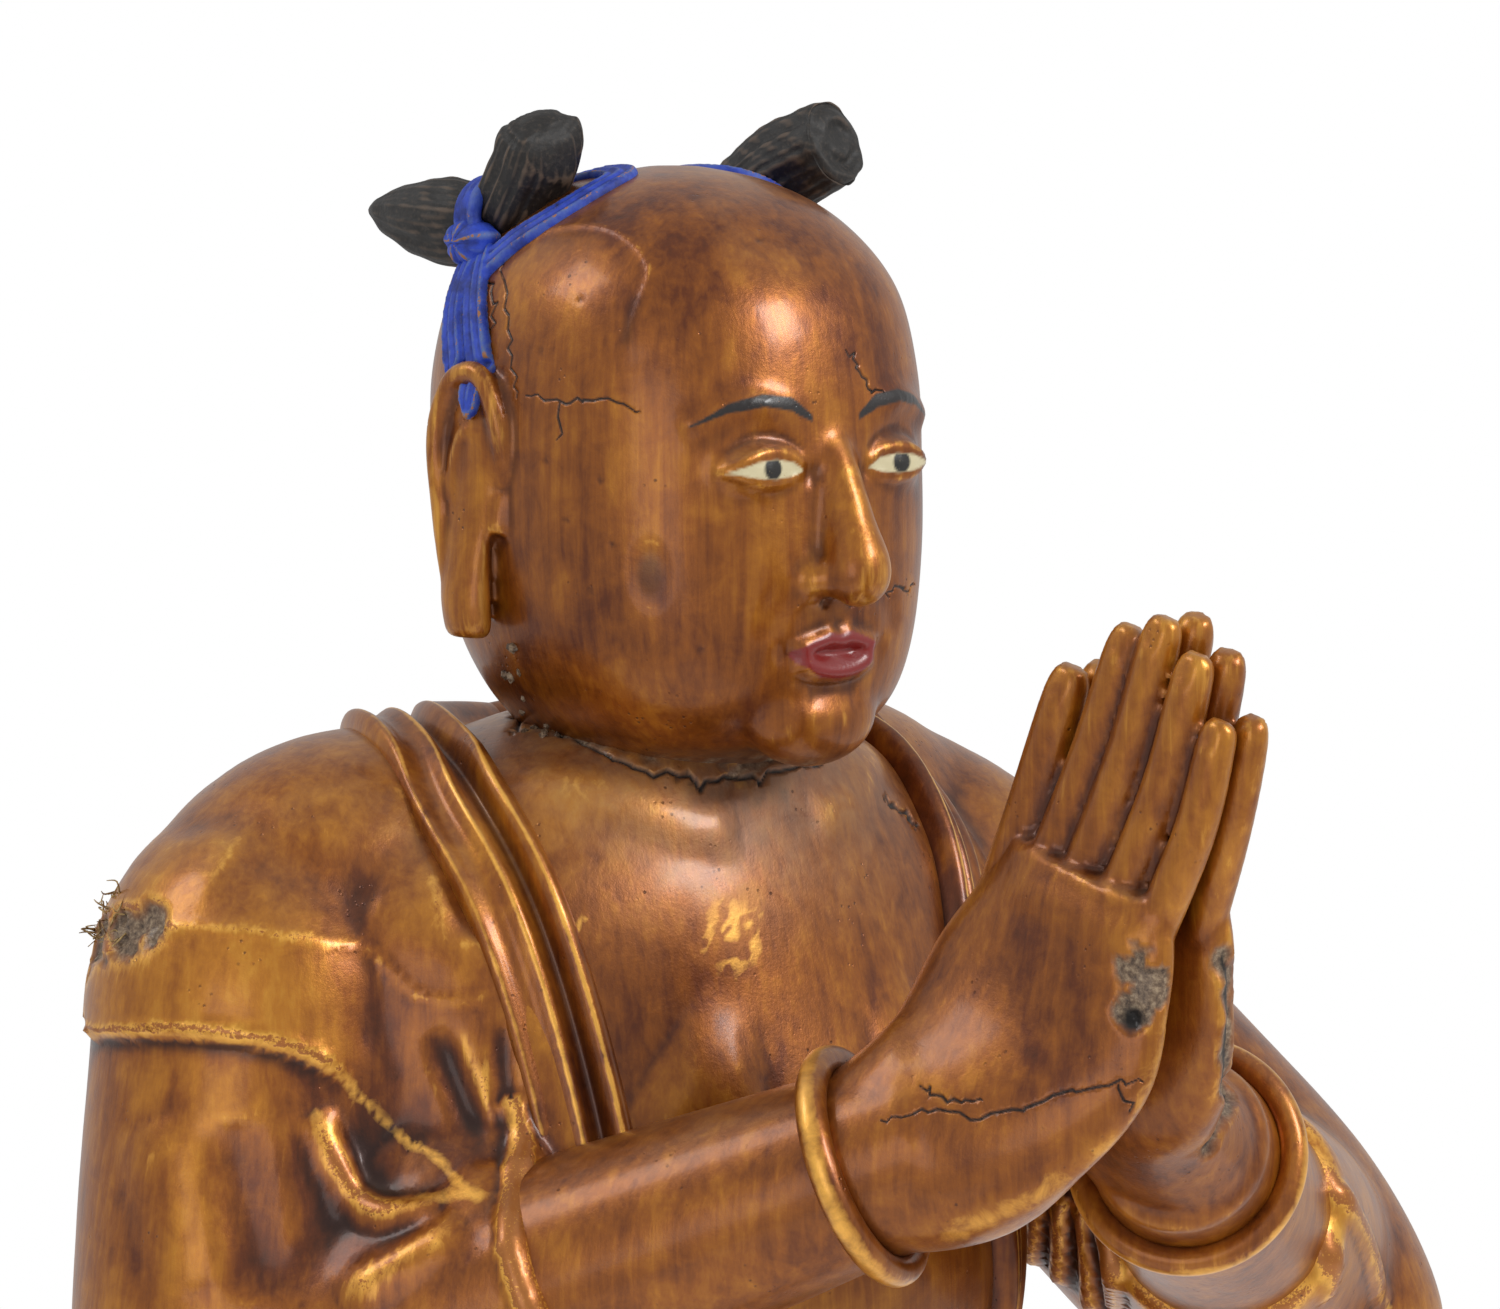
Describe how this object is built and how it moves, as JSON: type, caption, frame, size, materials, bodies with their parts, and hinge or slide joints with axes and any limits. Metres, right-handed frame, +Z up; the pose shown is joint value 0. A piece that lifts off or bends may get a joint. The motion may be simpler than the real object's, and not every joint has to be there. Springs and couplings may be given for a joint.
{
  "type": "boy figure",
  "caption": "Standing carved boy with palms pressed together, bald head with two tied hair tufts, open robe with broad borders and gilt brown lacquer.",
  "frame": {"origin": "on the floor plane, on the trunk's own upright axis", "axes": "+Z up, -Y the way the figure looks, +X towards the figure's own left"},
  "size_m": [0.5471, 0.4794, 1.1017],
  "materials": {
    "lacquer": "gilt brown lacquer, satin, worn to gold on the ridges",
    "hair_paint": "black paint on carved strands, matt and worn",
    "ribbon_paint": "ultramarine paint, matt and worn"
  },
  "bodies": {
    "root": {"body": "lacquer", "head": "lacquer", "tuft_right_front": "hair_paint", "tuft_right_back": "hair_paint", "tuft_left_front": "hair_paint", "tuft_left_back": "hair_paint", "ribbon_right": "ribbon_paint", "ribbon_left": "ribbon_paint"}
  },
  "joints": []
}
